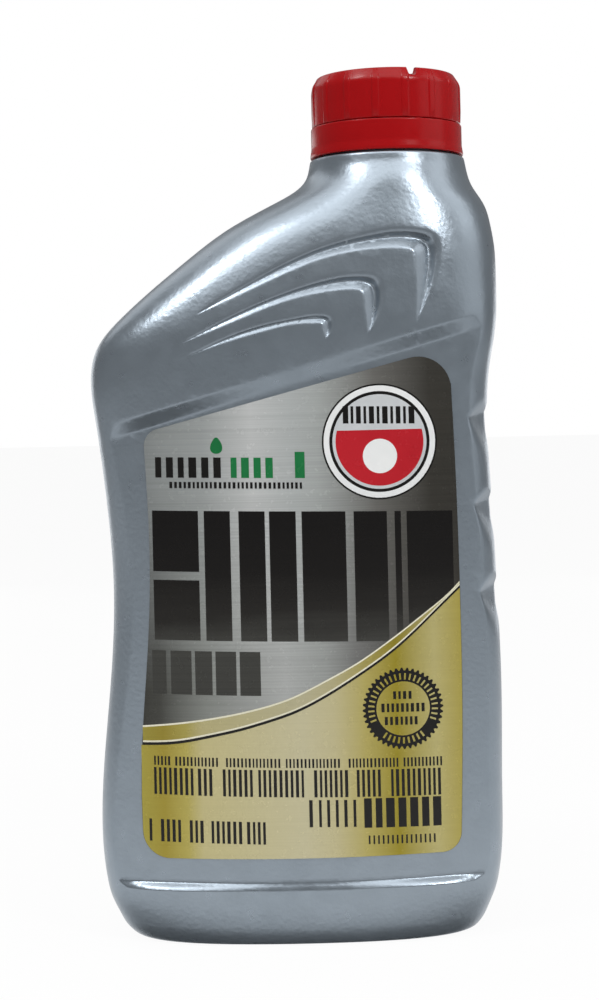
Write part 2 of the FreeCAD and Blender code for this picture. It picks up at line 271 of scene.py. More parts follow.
bottleSections = (  # height, left edge, right edge, half depth, squareness, crown
    (0.0, -45.4, 45.0, 27.0, 4.3, 4.5),
    (2.55, -47.8, 46.8, 28.3, 4.6, 4.5),
    (6.0, -49.6, 48.3, 29.2, 5.0, 4.5),
    (10.05, -51.4, 49.9, 29.7, 5.3, 4.5),
    (15.0, -52.6, 51.1, 30.0, 5.5, 4.5),
    (36.0, -53.5, 52.3, 30.0, 5.5, 4.5),
    (64.0, -50.9, 52.7, 30.0, 5.5, 4.5),
    (92.0, -49.3, 52.0, 30.0, 5.5, 4.5),
    (113.5, -50.6, 51.2, 30.0, 5.5, 4.5),
    (135.0, -53.1, 50.5, 30.0, 5.5, 4.5),
    (148.0, -54.0, 51.5, 30.0, 5.5, 4.5),
    (155.3, -51.8, 52.9, 30.0, 5.2, 4.2),
    (162.8, -45.3, 53.8, 29.5, 4.6, 3.7),
    (170.3, -36.9, 54.0, 28.6, 4.0, 3.0),
    (178.3, -27.1, 54.0, 27.4, 3.4, 2.1),
    (185.8, -16.8, 53.1, 25.8, 2.8, 1.1),
    (191.3, -6.7, 51.5, 24.3, 2.4, 0.5),
    (195.5, 0.8, 49.0, 23.3, 2.1, 0.1),
    (198.5, 3.8, 47.8, 22.3, 2.0, 0.0),
    (201.2, 4.8, 47.2, 21.2, 2.0, 0.0),
    (203.9, 5.3, 46.7, 20.7, 2.0, 0.0),
)

grooves = (  # tail tip, hook tip, then (outer edge, inner edge) pairs from tail to hook
    ((-24.7, 162.2), (31.4, 159.1), (
        ((-8.6, 171.7), (-7.5, 169.7)), ((7.7, 179.1), (9.0, 176.1)), ((21.4, 182.6), (22.0, 178.1)),
        ((30.7, 183.2), (28.9, 178.1)), ((37.5, 180.8), (31.2, 177.1)), ((38.1, 175.4), (31.6, 174.4)),
        ((36.1, 167.8), (31.7, 168.2)))),
    ((-29.5, 154.5), (18.8, 156.2), (
        ((-15.5, 161.9), (-14.6, 160.3)), ((-2.1, 167.4), (-1.2, 165.2)), ((9.4, 170.8), (9.8, 167.3)),
        ((16.8, 171.5), (15.4, 167.6)), ((22.3, 170.0), (17.7, 166.7)), ((23.2, 165.6), (18.0, 164.0)),
        ((21.6, 160.3), (18.3, 160.2)))),
    ((-27.9, 151.2), (8.0, 155.0), (
        ((-16.6, 156.4), (-15.7, 155.2)), ((-6.6, 159.4), (-5.8, 157.8)), ((1.8, 160.9), (2.0, 159.1)),
        ((6.2, 161.3), (5.6, 159.1)), ((9.7, 160.2), (7.1, 158.8)), ((10.0, 158.2), (7.3, 157.7)),
        ((9.3, 156.3), (7.6, 156.6)))),
)
grooveShape = {
    "profile": ((-0.15, -0.06), (0.20, 0.08), (0.42, 0.30), (0.50, 0.30), (1.15, -0.09)),  # share across, depth
    "stations": 220,
    "tip": 0.02,  # width of the tips, as a share of their neighbours'
    "within": (-31.0, 41.0, 148.0, 186.0),  # x from and to, height from and to
    "crease": 0.22,
    "fadeFrom": 8.0,  # they fade out towards the sides of the bottle
    "fadeOver": 6.0,
}

notches = {
    "heights": (134.2, 111.6, 89.0),
    "depth": 1.1,
    "reach": 6.3,
    "bend": 14.0,
    "rise": 1.3,
    "drop": 4.4,
    "upperSlope": 1.5,
    "lowerSlope": 3.2,
    "within": (30.0, 12.0, 14.0),  # x from, and how far up and down
    "lip": 1.1,
    "crease": 0.4,
}


def smoothCurve(knots, values):  # natural cubic through the values, read by a function
    knots = np.asarray(knots, float)
    values = np.asarray(values, float)
    gaps = np.diff(knots)
    size = len(knots)
    matrix = np.eye(size)
    right = np.zeros(values.shape)
    for i in range(1, size - 1):
        matrix[i, i - 1:i + 2] = gaps[i - 1], 2 * (gaps[i - 1] + gaps[i]), gaps[i]
        right[i] = 6 * ((values[i + 1] - values[i]) / gaps[i] - (values[i] - values[i - 1]) / gaps[i - 1])
    bend = np.linalg.solve(matrix, right)

    def read(place):
        place = np.clip(np.asarray(place, float), knots[0], knots[-1])
        i = np.clip(np.searchsorted(knots, place) - 1, 0, size - 2)
        h, a, b = gaps[i], (knots[i + 1] - place) / gaps[i], (place - knots[i]) / gaps[i]
        if values.ndim > 1:
            h, a, b = h[..., None], a[..., None], b[..., None]
        curve = ((a ** 3 - a) * bend[i] + (b ** 3 - b) * bend[i + 1]) * h * h / 6
        return a * values[i] + b * values[i + 1] + curve

    return read


def softMax(a, b, radius):
    h = np.maximum(radius - np.abs(a - b), 0.0) / radius
    return np.maximum(a, b) + h * h * radius / 4


def softMin(a, b, radius):
    return -softMax(-a, -b, radius)


sectionAt = smoothCurve([row[0] for row in bottleSections], [row[1:] for row in bottleSections])


def plainPoint(turn, height, inset=0.0):  # on the plain body; turn runs from 0 at the back round to 1
    left, right, depth, power, fall = np.moveaxis(sectionAt(height), -1, 0)
    left, right, depth = left + inset, right - inset, depth - inset
    c, s = np.cos(2 * np.pi * turn), np.sin(2 * np.pi * turn)
    scale = (np.abs(c) ** power + np.abs(s) ** power) ** (-1 / power)
    across = s * scale
    x = (left + right) / 2 - (right - left) / 2 * across
    y = (depth - fall * across ** 2) * c * scale
    return x, y


def plainFront(x, height):
    left, right, depth, power, fall = np.moveaxis(sectionAt(height), -1, 0)
    across = np.clip(np.abs((x - (left + right) / 2) / ((right - left) / 2)), 0.0, 1.0)
    return -(depth - fall * across ** 2) * (1 - across ** power) ** (1 / power)


def panelFloor(x):
    radius = bottleShape["panelRadius"]
    return bottleShape["panelRecess"] - bottleShape["halfDepth"] + radius - np.sqrt(radius ** 2 - x ** 2)


def panelCut(x, height):  # y of the recessed panel with its step above and ridge below
    floor = panelFloor(x)
    cut = floor
    slope = math.tan(math.radians(bottleShape["stepAngle"]))
    for foot, rise in (
        (bottleShape["stepHeight"] + x * slope, bottleShape["stepBand"]),
        (bottleShape["ridgeHeight"] + 0 * x, -bottleShape["ridgeBand"]),
    ):
        depth = np.maximum(bottleShape["panelRecess"], floor - plainFront(x, foot + rise))
        cut = softMin(cut, floor - (height - foot) / rise * depth, bottleShape["crease"])
    return cut


def grooveTree(tail, hook, pairs):  # walls of one groove as (x, depth, z), for looking up its depth
    def drawn(tip, pair):
        shift = (np.array(pair[0]) - np.array(pair[1])) * grooveShape["tip"]
        return np.array(tip) + shift, np.array(tip) - shift

    rows = [drawn(tail, pairs[0])] + [(np.array(o), np.array(i)) for o, i in pairs] + [drawn(hook, pairs[-1])]
    outer = np.array([row[0] for row in rows])
    inner = np.array([row[1] for row in rows])
    steps = np.linalg.norm(np.diff(inner + outer, axis=0), axis=1)
    paces = np.concatenate([[0], np.cumsum(steps)])
    outerAt, innerAt = smoothCurve(paces, outer), smoothCurve(paces, inner)
    points, faces = [], []
    for place in np.linspace(0, paces[-1], grooveShape["stations"]):
        first, last = outerAt(place), innerAt(place)
        width = np.linalg.norm(first - last)
        for share, depth in grooveShape["profile"]:
            spot = first + (last - first) * share
            points.append(Vector((spot[0], depth * width, spot[1])))
    size = len(grooveShape["profile"])
    for start in range(0, len(points) - size, size):
        faces += quads(range(start, start + size), range(start + size, start + 2 * size), False)
    return BVHTree.FromPolygons(points, faces)


grooveTrees = [grooveTree(*groove) for groove in grooves]


def grooveDepth(x, height):
    left, right, low, high = grooveShape["within"]
    depth = np.full(len(x), -1.0)
    ahead = Vector((0.0, 1.0, 0.0))
    for i in np.nonzero((height > low) & (height < high) & (x > left) & (x < right))[0]:
        for tree in grooveTrees:
            hit = tree.ray_cast(Vector((x[i], -50.0, height[i])), ahead)[0]
            if hit:
                depth[i] = max(depth[i], hit.y)
    return depth


def notchCut(y, height, level):  # x of the walls of one finger notch
    side = sectionAt(level)[1]
    floor = side - notches["depth"]
    point = np.array((side - notches["reach"], 0.0, level))
    point[1] = plainFront(point[0], level)
    top, bottom = level + notches["rise"], level - notches["drop"]
    out = 20.0  # the flanks are drawn this far out
    bend = -notches["bend"]
    y = np.minimum(y, bend)
    lowEdge = (floor + 0.3, bend, bottom)
    walls = []
    for first, second in (
        ((floor, bend, top), (floor + out, bend, top + out * notches["upperSlope"])),
        ((floor + out, bend, bottom - out * notches["lowerSlope"]), lowEdge),
        ((floor, bend, top), lowEdge),
    ):
        normal = np.cross(np.array(first) - point, np.array(second) - point)
        walls.append(point[0] - (normal[1] * (y - point[1]) + normal[2] * (height - point[2])) / normal[0])
    return softMax(softMax(walls[0], walls[1], notches["crease"]), walls[2], notches["crease"])


def heelInset(height):  # rounds the edge at the foot and the edge of the ledge
    foot, brink = bottleShape["footRound"], bottleShape["brinkRound"]
    low = np.clip(foot - height, 0.0, foot)
    high = np.clip(height - (bottleShape["ledge"] - brink), 0.0, brink)
    footInset = foot - np.sqrt(np.maximum(foot ** 2 - low ** 2, 0.0))
    return footInset + brink - np.sqrt(np.maximum(brink ** 2 - high ** 2, 0.0))


def shapedPoint(turn, height):  # on the finished outside, with panel, grooves and notches
    x, y = plainPoint(turn, height, heelInset(height))
    back = y > 0
    y = -np.abs(y)
    y = softMax(y, panelCut(x, height), bottleShape["crease"])
    groove = grooveDepth(x, height)
    front = np.clip((-y - grooveShape["fadeFrom"]) / grooveShape["fadeOver"], 0.0, 1.0)
    y = y + softMax(groove, 0.0 * groove, grooveShape["crease"]) * (groove > -1.0) * front
    left, up, down = notches["within"]
    for level in notches["heights"]:
        near = (height < level + up) & (height > level - down) & (x > left)
        x = np.where(near, softMin(x, notchCut(y, height, level), notches["lip"]), x)
    return np.stack([x, np.where(back, -y, y), height], axis=-1)


turns = np.linspace(0.0, 1.0, 2001)
girthX, girthY = plainPoint(turns, np.full(len(turns), 100.0))
girth = np.concatenate([[0], np.cumsum(np.hypot(np.diff(girthX), np.diff(girthY)))])


def evenTurn(share):  # turn at a share of the way round, so that faces are evenly wide
    return np.interp(share, girth / girth[-1], turns)


def skinLattice():
    fine = 2 ** bottleShape["refineTimes"]
    columns = round(girth[-1] / bottleShape["cell"]) * fine
    rows = round(bottleShape["ledge"] / bottleShape["cell"]) * fine

    def pointsAt(i, j):
        key, back = np.unique((j * columns + i % columns).ravel(), return_inverse=True)
        points = shapedPoint(evenTurn(key % columns / columns), key // columns / rows * bottleShape["ledge"])
        return points[back].reshape(*i.shape, 3)

    return columns, rows, fine, pointsAt


def refinedCells(columns, rows, fine, pointsAt):  # square cells, split where the surface bends sharply
    i, j = np.meshgrid(np.arange(0, columns, fine), np.arange(0, rows, fine))
    cells = np.stack([i.ravel(), j.ravel()], axis=-1)
    size = fine
    done = []
    while size > 1:
        half = size // 2
        offsets = np.array([(0, 0), (size, 0), (size, size), (0, size), (half, half), (half, 0), (size, half),
                            (half, size), (0, half)])
        grid = cells[:, None, :] + offsets[None]
        p = pointsAt(grid[..., 0], grid[..., 1])
        normal = np.cross(p[:, 2] - p[:, 0], p[:, 3] - p[:, 1])
        normal /= np.maximum(np.linalg.norm(normal, axis=-1, keepdims=True), 1e-9)
        misses = [p[:, 4] - p[:, :4].mean(axis=1)]
        for k in range(4):
            misses.append(p[:, 5 + k] - (p[:, k] + p[:, (k + 1) % 4]) / 2)
        miss = np.max([np.abs(np.sum(m * normal, axis=-1)) for m in misses], axis=0)
        split = miss > bottleShape["tolerance"]
        done.append((cells[~split], size))
        kept = cells[split]
        cells = np.concatenate([kept, kept + (half, 0), kept + (0, half), kept + (half, half)])
        size = half
    done.append((cells, 1))
    return done


def buildSkin():
    columns, rows, fine, pointsAt = skinLattice()
    cells = refinedCells(columns, rows, fine, pointsAt)
    used = np.zeros((rows + 1, columns), bool)
    for corner, size in cells:
        for di, dj in ((0, 0), (size, 0), (size, size), (0, size)):
            used[corner[:, 1] + dj, (corner[:, 0] + di) % columns] = True
    jj, ii = np.nonzero(used)
    number = np.full(used.shape, -1)
    number[jj, ii] = np.arange(len(jj))
    points = [tuple(p) for p in pointsAt(ii, jj)]
    faces = []
    for corner, size in cells:
        for i, j in corner:
            walk = [(i + k, j) for k in range(size)] + [(i + size, j + k) for k in range(size)]
            walk += [(i + size - k, j + size) for k in range(size)] + [(i, j + size - k) for k in range(size)]
            faces.append([number[b, a % columns] for a, b in walk if used[b, a % columns]])

    def edgeOf(row):  # numbers of the points along the foot or the brink, and their turns
        at = np.nonzero(used[row])[0]
        return [number[row, i] for i in at], evenTurn(at / columns)

    def addLoop(last, spots):
        fresh = list(range(len(points), len(points) + len(last)))
        points.extend(spots)
        faces.extend(quads(last, fresh))
        return fresh

    def level(turn, section, inset, height):
        x, y = plainPoint(turn, np.full(len(turn), section), inset)
        return zip(x, y, [height] * len(turn))

    loop, turn = edgeOf(0)
    for inset, height in bottleShape["base"]:
        loop = addLoop(loop, level(turn, 0.0, inset, height))
    faces.append(loop)

    loop, turn = edgeOf(rows)
    for radius, depth in bottleShape["mouth"]:
        height = bottleShape["ledge"] - depth
        loop = addLoop(loop, [(neckX - radius * math.sin(a), radius * math.cos(a), height) for a in turn * 2 * np.pi])
    for height in bottleShape["insideLevels"]:
        loop = addLoop(loop, level(turn, height, bottleShape["insideInset"], height))
    faces.append(loop)
    return newPiece("bottleBody", points, faces)


def buildFinish():  # the screw finish above the ledge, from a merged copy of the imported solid
    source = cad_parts["bottle"]
    piece = source.copy()
    piece.data = source.data.copy()
    piece.name = piece.data.name = "neckFinish"
    piece.parent = None
    piece.matrix_world = Matrix.Identity(4)
    piece.data.transform(source.matrix_world)
    bpy.context.scene.collection.objects.link(piece)
    openAll(piece)
    bpy.ops.mesh.remove_doubles(threshold=0.000002)
    closeAll()
    bpy.ops.mesh.customdata_custom_splitnormals_clear()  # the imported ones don't fit the merged corners
    cut = (bottleShape["ledge"] + bottleShape["finishCut"]) * mm
    openAll(piece)
    bpy.ops.mesh.bisect(plane_co=(0, 0, cut), plane_no=(0, 0, 1), use_fill=True, clear_inner=True)
    closeAll()
    for vertex in piece.data.vertices:
        if vertex.co.z < cut + 0.00001:
            vertex.co.z -= bottleShape["finishSunk"] * mm
    return piece


bottleLook = {
    "colour": (0.315, 0.365, 0.415),
    "deep": (0.300, 0.350, 0.400),
    "cloud": 28.0,
    "metallic": 0.8,
    "gloss": 0.5,
    "grain": 220.0,
    "rough": (0.27, 0.35),
    "peel": 900.0,  # one bump about every millimetre
    "peelStrength": 0.5,
    "peelHeight": 0.0001,
}

pearlPlastic = plastic("pearlPlastic", bottleLook)
bottleBody, neckFinish = buildSkin(), buildFinish()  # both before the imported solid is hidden
finishPiece(bottleBody, pearlPlastic, 60.0, "bottle", "bottle")
finishPiece(neckFinish, pearlPlastic, 30.0, "bottle", "bottle")


# turned pieces

def rounded(corners):  # profile through (radius, height, rounding) corners
    points = []
    for before, (r, z, size), after in zip(corners[-1:] + corners[:-1], corners, corners[1:] + corners[:1]):
        if size == 0.0:
            points.append((r, z))
            continue
        here = Vector((r, z))
        back = (Vector(before[:2]) - here).normalized() * size
        ahead = (Vector(after[:2]) - here).normalized() * size
        for step in range(6):
            t = step / 5
            spot = here + back * (1 - t) ** 2 + ahead * t ** 2
            points.append((spot.x, spot.y))
    return points


def turnedPiece(name, profile, angles, reshape=None):  # a closed profile, or one from axis to axis
    opened = profile[0][0] == 0.0
    ring = profile[1:-1] if opened else profile
    points, faces = [], []
    for angle in angles:
        for r, z in ring:
            if reshape:
                r = reshape(r, z, angle)
            points.append((neckX + r * math.cos(angle), r * math.sin(angle), z))
    size, count = len(ring), len(angles)
    rows = [range(i * size, i * size + size) for i in range(count)]
    for row, after in zip(rows, rows[1:] + rows[:1]):
        faces += quads(row, after, not opened)
    if opened:
        for k, (r, z) in ((0, profile[0]), (size - 1, profile[-1])):
            points.append((neckX, 0.0, z))
            faces += [(len(points) - 1, row[k], after[k]) for row, after in zip(rows, rows[1:] + rows[:1])]
    return newPiece(name, points, faces)


def evenAngles(count):
    return [2 * math.pi * i / count for i in range(count)]


# cap

capShape = {
    "inner": 18.7,
    "outer": 20.0,
    "bottom": 212.62,
    "top": 225.9,
    "chamfer": 3.0,
    "inset": 1.5,
    "rimWidth": (1.3, 1.7),  # at its top and foot
    "rings": (219.0, 216.0),  # heights of two more rows of faces on the side
    "plateTop": 224.5,
    "plateBottom": 223.2,
    "ribs": 16,
    "ribTurn": 12.2,
    "ribWidth": 1.8,
    "ribHeight": 0.24,
    "ribFlank": (0.12, 0.3),  # how far its flanks start outside its width, and how wide they are
    "ribFade": ((0.2, 0.5), (0.4, 1.6)),  # from the bottom and from the top: where it starts, over how much
    "ribPoints": (0.2, 0.5, 0.68, 0.8, 0.92, 1.05, 1.25, 1.6),  # places of vertices across half a rib
    "notchTurn": -71.0,
    "notchWidth": 2.0,
    "notchFlare": 1.9,  # how much wider its top is
    "notchRound": 0.75,
    "notchFloor": 223.6,
    "threadLow": 213.95,
    "pitch": 4.23,
    "threadTurns": 1.25,
    "threadStart": -214.5,
    "threadDepth": 1.1,
    "threadRoot": 0.95,  # half widths
    "threadCrest": 0.45,
    "threadSteps": 120,
}

capLook = {
    "colour": (0.375, 0.003, 0.005),
    "deep": (0.345, 0.0025, 0.004),
    "cloud": 60.0,
    "metallic": 0.0,
    "gloss": 0.22,
    "grain": 400.0,
    "rough": (0.20, 0.26),
    "peel": 260.0,
    "peelStrength": 0.15,
    "peelHeight": 0.00002,
}


def ribAngles():
    step = 2 * math.pi / capShape["ribs"]
    marks = [-mark for mark in reversed(capShape["ribPoints"])] + list(capShape["ribPoints"])
    edge = marks[-1] / capShape["outer"]
    angles = []
    for number in range(capShape["ribs"]):
        middle = math.radians(capShape["ribTurn"]) + step * number
        angles += [middle + mark / capShape["outer"] for mark in marks]
        angles += [middle + edge + (step - 2 * edge) * k / 5 for k in range(1, 5)]
    return angles


def clamped(share):
    return min(max(share, 0.0), 1.0)


def ribbed(r, z, angle):  # only the outside is lifted, and less towards the top and bottom
    c = capShape
    if r < c["outer"] - (0.7 if z < c["plateTop"] else 1.7):
        return r
    wider, flank = c["ribFlank"]
    (low, lowOver), (high, highOver) = c["ribFade"]
    step = 2 * math.pi / c["ribs"]
    away = (angle - math.radians(c["ribTurn"]) + step / 2) % step - step / 2
    rise = clamped((c["ribWidth"] / 2 + wider - abs(away) * c["outer"]) / flank)
    fade = clamped((c["top"] - high - z) / highOver) * clamped((z - c["bottom"] - low) / lowOver)
    return r + c["ribHeight"] * rise * rise * (3 - 2 * rise) * fade


def capProfile():
    c = capShape
    rim = c["outer"] - c["inset"]
    narrow, wide = c["rimWidth"]
    return rounded([
        (0.0, c["plateTop"], 0.0), (rim - wide, c["plateTop"], 0.3), (rim - narrow, c["top"], 0.25),
        (rim, c["top"], 0.4), (c["outer"], c["top"] - c["chamfer"], 1.0),
        *((c["outer"], height, 0.0) for height in c["rings"]),
        (c["outer"], c["bottom"], 0.45), (c["inner"], c["bottom"], 0.2),
        (c["inner"], c["plateBottom"], 0.3), (0.0, c["plateBottom"], 0.0),
    ])


def capThread():  # ridge inside the cap, run out at both ends
    c = capShape
    steps = c["threadSteps"]
    root = c["inner"] + 0.2
    points, faces = [], []
    for i in range(steps + 1):
        share = i / steps
        angle = math.radians(c["threadStart"]) + 2 * math.pi * c["threadTurns"] * share
        z = c["threadLow"] + c["pitch"] * c["threadTurns"] * share
        crest = c["inner"] - (c["threadDepth"] * min(1.0, share * 12, (1 - share) * 12) + 0.01)
        for r, lift in ((root, -c["threadRoot"]), (crest, -c["threadCrest"]), (crest, c["threadCrest"]),
                        (root, c["threadRoot"])):
            points.append((neckX + r * math.cos(angle), r * math.sin(angle), z + lift))
        if i:
            faces += quads(range(i * 4 - 4, i * 4), range(i * 4, i * 4 + 4))
    faces += [(0, 1, 2, 3), (steps * 4, steps * 4 + 3, steps * 4 + 2, steps * 4 + 1)]
    return newPiece("capThread", points, faces)


def cutRimNotch(piece):  # u-shaped gap in the rim, cut with a rounded bar
    c = capShape
    turn = math.radians(c["notchTurn"])
    reach, bulk = c["outer"] - 1.0, 6.0
    bar = newBar(bulk, c["notchWidth"], bulk)
    for vertex in bar.data.vertices:
        if vertex.co.z > 0:
            vertex.co.y *= c["notchFlare"]
    modify(bar, "BEVEL", width=c["notchRound"] * mm, segments=5)
    bar.data.transform(Matrix.Rotation(turn, 4, "Z"))
    bar.data.transform(Matrix.Translation((
        (neckX + reach * math.cos(turn)) * mm, reach * math.sin(turn) * mm, (c["notchFloor"] + bulk / 2) * mm)))
    modify(piece, "BOOLEAN", operation="DIFFERENCE", object=bar, solver="EXACT")
    bpy.data.objects.remove(bar)


redPlastic = plastic("redPlastic", capLook)
screwCap = turnedPiece("screwCap", capProfile(), ribAngles(), ribbed)
cutRimNotch(screwCap)
screwCap = joined([screwCap, capThread()])
finishPiece(screwCap, redPlastic, 38.0, "cap", "cap")


# tamper band

bandShape = {
    "corners": [  # radius, height, rounding
        (19.0, 204.4, 0.15), (20.6, 204.4, 0.35), (20.6, 205.1, 0.3), (20.3, 206.9, 0.5), (20.3, 212.46, 0.45),
        (19.0, 212.46, 0.15), (19.0, 209.0, 0.1), (17.7, 209.0, 0.15), (19.0, 207.2, 0.2),
    ],
    "bridges": 8,
    "bridgeSize": (0.7, 1.2, 0.4),
    "bridgeRadius": 19.55,
    "bridgeHeight": 212.38,
}


def bandBridge(number):
    angle = 2 * math.pi * (number + 0.5) / bandShape["bridges"]
    bridge = newBar(*bandShape["bridgeSize"])
    bridge.data.transform(Matrix.Translation((bandShape["bridgeRadius"] * mm, 0.0, bandShape["bridgeHeight"] * mm)))
    bridge.data.transform(Matrix.Rotation(angle, 4, "Z"))
    bridge.data.transform(Matrix.Translation((neckX * mm, 0.0, 0.0)))
    return bridge


tamperBand = turnedPiece("tamperBand", rounded(bandShape["corners"]), evenAngles(256))
tamperBand = joined([tamperBand] + [bandBridge(number) for number in range(bandShape["bridges"])])
finishPiece(tamperBand, redPlastic, 38.0, "bottle", "tamper_band")


# liner

linerShape = {"radius": 18.4, "bottom": 222.2, "top": 223.2, "rounding": 0.15}
linerLook = {"white": (0.80, 0.80, 0.77), "grey": (0.70, 0.70, 0.67), "cells": 900.0, "rough": (0.55, 0.75)}


def linerFoam():
    material, tree, shader, place = newMaterial("linerFoam")
    cells = noise(tree, place, linerLook["cells"], 4.0)
    feed(tree, shader, {
        "Base Color": ramp(tree, cells, [(0.35, linerLook["grey"]), (0.65, linerLook["white"])]),
        "Roughness": spread(tree, cells, *linerLook["rough"]),
    })
    bump(tree, shader, cells, 0.4, 0.00005)
    return material


def linerProfile():
    s = linerShape
    edge, size = s["radius"], s["rounding"]
    return rounded([(0.0, s["bottom"], 0.0), (edge, s["bottom"], size), (edge, s["top"], size), (0.0, s["top"], 0.0)])


foamLiner = turnedPiece("foamLiner", linerProfile(), evenAngles(160))
finishPiece(foamLiner, linerFoam(), 30.0, "liner", "cap_liner")


# labels; their places are x and height in the front view, in millimetres

front, rear = -1, 1  # which way a label faces along y

labelShape = {
    "left": ((-41.6, 22.7), (-41.9, 44.0), (-40.0, 70.0), (-38.5, 95.0), (-39.5, 132.0)),
    "right": ((40.0, 22.7), (41.1, 58.0), (41.1, 95.0), (40.7, 120.0), (39.6, 152.4)),
    "corners": (7.0, 5.0, 8.5, 4.5),  # rounding from the lower left, anticlockwise
    "film": 0.2,
    "glue": 0.06,
    "edgeRound": 0.14,
    "strip": 1.5,  # the film bends over strips of this width
    "tilt": -0.0227,  # the print is a little off level
    "ink": 0.03,
    "layers": (0.245, 0.250, 0.262, 0.270, 0.274, 0.286, 0.298, 0.310),  # of print, over the panel
}


def curveThrough(places):
    return smoothCurve([x for x, z in places], [z for x, z in places])


labelLeft = curveThrough([(z, x) for x, z in labelShape["left"]])
labelRight = curveThrough([(z, x) for x, z in labelShape["right"]])


def roundedPolygon(points, corners):  # corners maps a point's number to its rounding
    outline = []
    for i, (x, z) in enumerate(points):
        size = corners.get(i, 0.0)
        if not size:
            outline.append((x, z))
            continue
        here = Vector((x, z))
        back = (Vector(points[i - 1]) - here).normalized()
        ahead = (Vector(points[(i + 1) % len(points)]) - here).normalized()
        half = back.angle(ahead) / 2
        centre = here + (back + ahead).normalized() * size / math.sin(half)
        first = here + back * size / math.tan(half) - centre
        last = here + ahead * size / math.tan(half) - centre
        sweep = first.angle_signed(last)
        for step in range(13):
            spot = centre + Matrix.Rotation(-sweep * step / 12, 2) @ first
            outline.append((spot.x, spot.y))
    return outline


def labelOutline(inset=0.0):
    count = 15
    low, high = labelShape["left"][0][1] + inset, labelShape["left"][-1][1] - inset
    highRight = labelShape["right"][-1][1] - inset * 1.2
    lefts = [(float(labelLeft(z)) + inset, z) for z in np.linspace(high, low, count)]
    rights = [(float(labelRight(z)) - inset, z) for z in np.linspace(low, highRight, count)]
    places = (count - 1, count, 2 * count - 1, 0)
    return roundedPolygon(lefts + rights, {i: size - inset for i, size in zip(places, labelShape["corners"])})


def filmPiece(name, outlines, level, thickness, side, rings=()):  # plates that lie on the bowed panel
    form = bmesh.new()
    for outline in outlines:
        form.faces.new([form.verts.new((x, 0.0, z)) for x, z in outline])
    for ring in rings:
        outer, inner = [[form.verts.new((x, 0.0, z)) for x, z in loop] for loop in ring]
        for face in quads(outer, inner):
            form.faces.new(face)
    low = min(v.co.x for v in form.verts)
    high = max(v.co.x for v in form.verts)
    x = math.ceil(low / labelShape["strip"]) * labelShape["strip"]
    while x < high:
        everything = form.verts[:] + form.edges[:] + form.faces[:]
        bmesh.ops.bisect_plane(form, geom=everything, dist=0.0001, plane_co=(x, 0, 0), plane_no=(1, 0, 0))
        x += labelShape["strip"]
    for v in form.verts:
        v.co = (v.co.x * mm, side * (-float(panelFloor(v.co.x)) + level) * mm, v.co.z * mm)
    form.normal_update()
    for face in form.faces:
        if face.normal.y * side < 0:
            face.normal_flip()
    mesh = bpy.data.meshes.new(name)
    form.to_mesh(mesh)
    form.free()
    piece = linked(name, mesh)
    modify(piece, "SOLIDIFY", thickness=thickness * mm, offset=1.0)
    return piece


def block(left, right, low, high):  # upright block of print, level with the rest
    tilt = labelShape["tilt"]
    return [(left, low + left * tilt), (right, low + right * tilt), (right, high + right * tilt),
            (left, high + left * tilt)]


def circle(x, z, radius, count=72):
    return [(x + radius * math.cos(angle), z + radius * math.sin(angle)) for angle in evenAngles(count)]


def strokes(left, right, low, high, pitch, share, seed):  # row of plain upright strokes
    row = []
    x = left
    k = seed
    while x < right - pitch * 0.6:
        k = (k * 7 + 3) % 11
        width = pitch * share * (0.85 + 0.03 * k)
        row.append(block(x, min(x + width, right), low, high))
        x += pitch * (0.9 + 0.02 * k)
    return row


sweep = {
    "upper": ((-41.8, 56.7), (-32.6, 57.5), (-24.3, 58.6), (-16.0, 60.1), (-8.9, 61.8), (-3.0, 63.7), (5.9, 67.9),
              (14.8, 72.6), (20.8, 76.5), (26.8, 80.7), (32.8, 85.1), (38.9, 89.9), (41.2, 92.2)),
    "lower": ((-41.8, 51.7), (-32.7, 52.1), (-23.8, 53.7), (-14.9, 55.7), (-9.0, 57.4), (-3.1, 59.3), (5.8, 63.5),
              (14.7, 68.8), (23.7, 74.9), (29.7, 79.9), (35.8, 85.5), (41.2, 90.4)),
    "line": 0.7,
    "edge": 0.45,
    "margin": 0.05,
    "endHeights": (54.0, 90.0),  # where it meets the left and right edge of the label
    "overlap": 0.1,  # of the band over the field below it
}
upperAt, lowerAt = curveThrough(sweep["upper"]), curveThrough(sweep["lower"])


def ribbon(low, high, left, right, count=56):  # field between two curves, each read by a function of x
    xs = np.linspace(left, right, count)
    return [(x, float(low(x))) for x in xs] + [(x, float(high(x))) for x in xs[::-1]]


def above(left, right, low, high):  # block of print that stops at the sweep
    tilt = labelShape["tilt"]
    return ribbon(lambda x: max(low + x * tilt, float(upperAt(x)) + sweep["margin"]), lambda x: high + x * tilt,
                  left, right, 12)


def goldPart():  # the part of the label under the sweep
    edge = [(x, z) for x, z in labelOutline(0.03) if z < lowerAt(x)]
    return edge + [(x, float(lowerAt(x))) for x in np.linspace(edge[-1][0], edge[0][0], 60)]


def toothed(x, z, radius, depth, count):
    ring = []
    for i, angle in enumerate(evenAngles(count * 4)):
        reach = radius - (depth if i % 4 in (2, 3) else 0.0)
        ring.append((x + reach * math.cos(angle), z + reach * math.sin(angle)))
    return ring


def around(x, z, radius, size, start, end, count, width):  # short upright marks on an arc
    row = []
    for i in range(count):
        angle = math.radians(start + (end - start) * (i + 0.5) / count)
        out = Vector((math.cos(angle), math.sin(angle)))
        side = Vector((-out.y, out.x)) * width / 2
        middle = Vector((x, z)) + out * radius
        row.append([tuple(middle + out * size / 2 * a + side * b) for a, b in ((-1, -1), (-1, 1), (1, 1), (1, -1))])
    return row


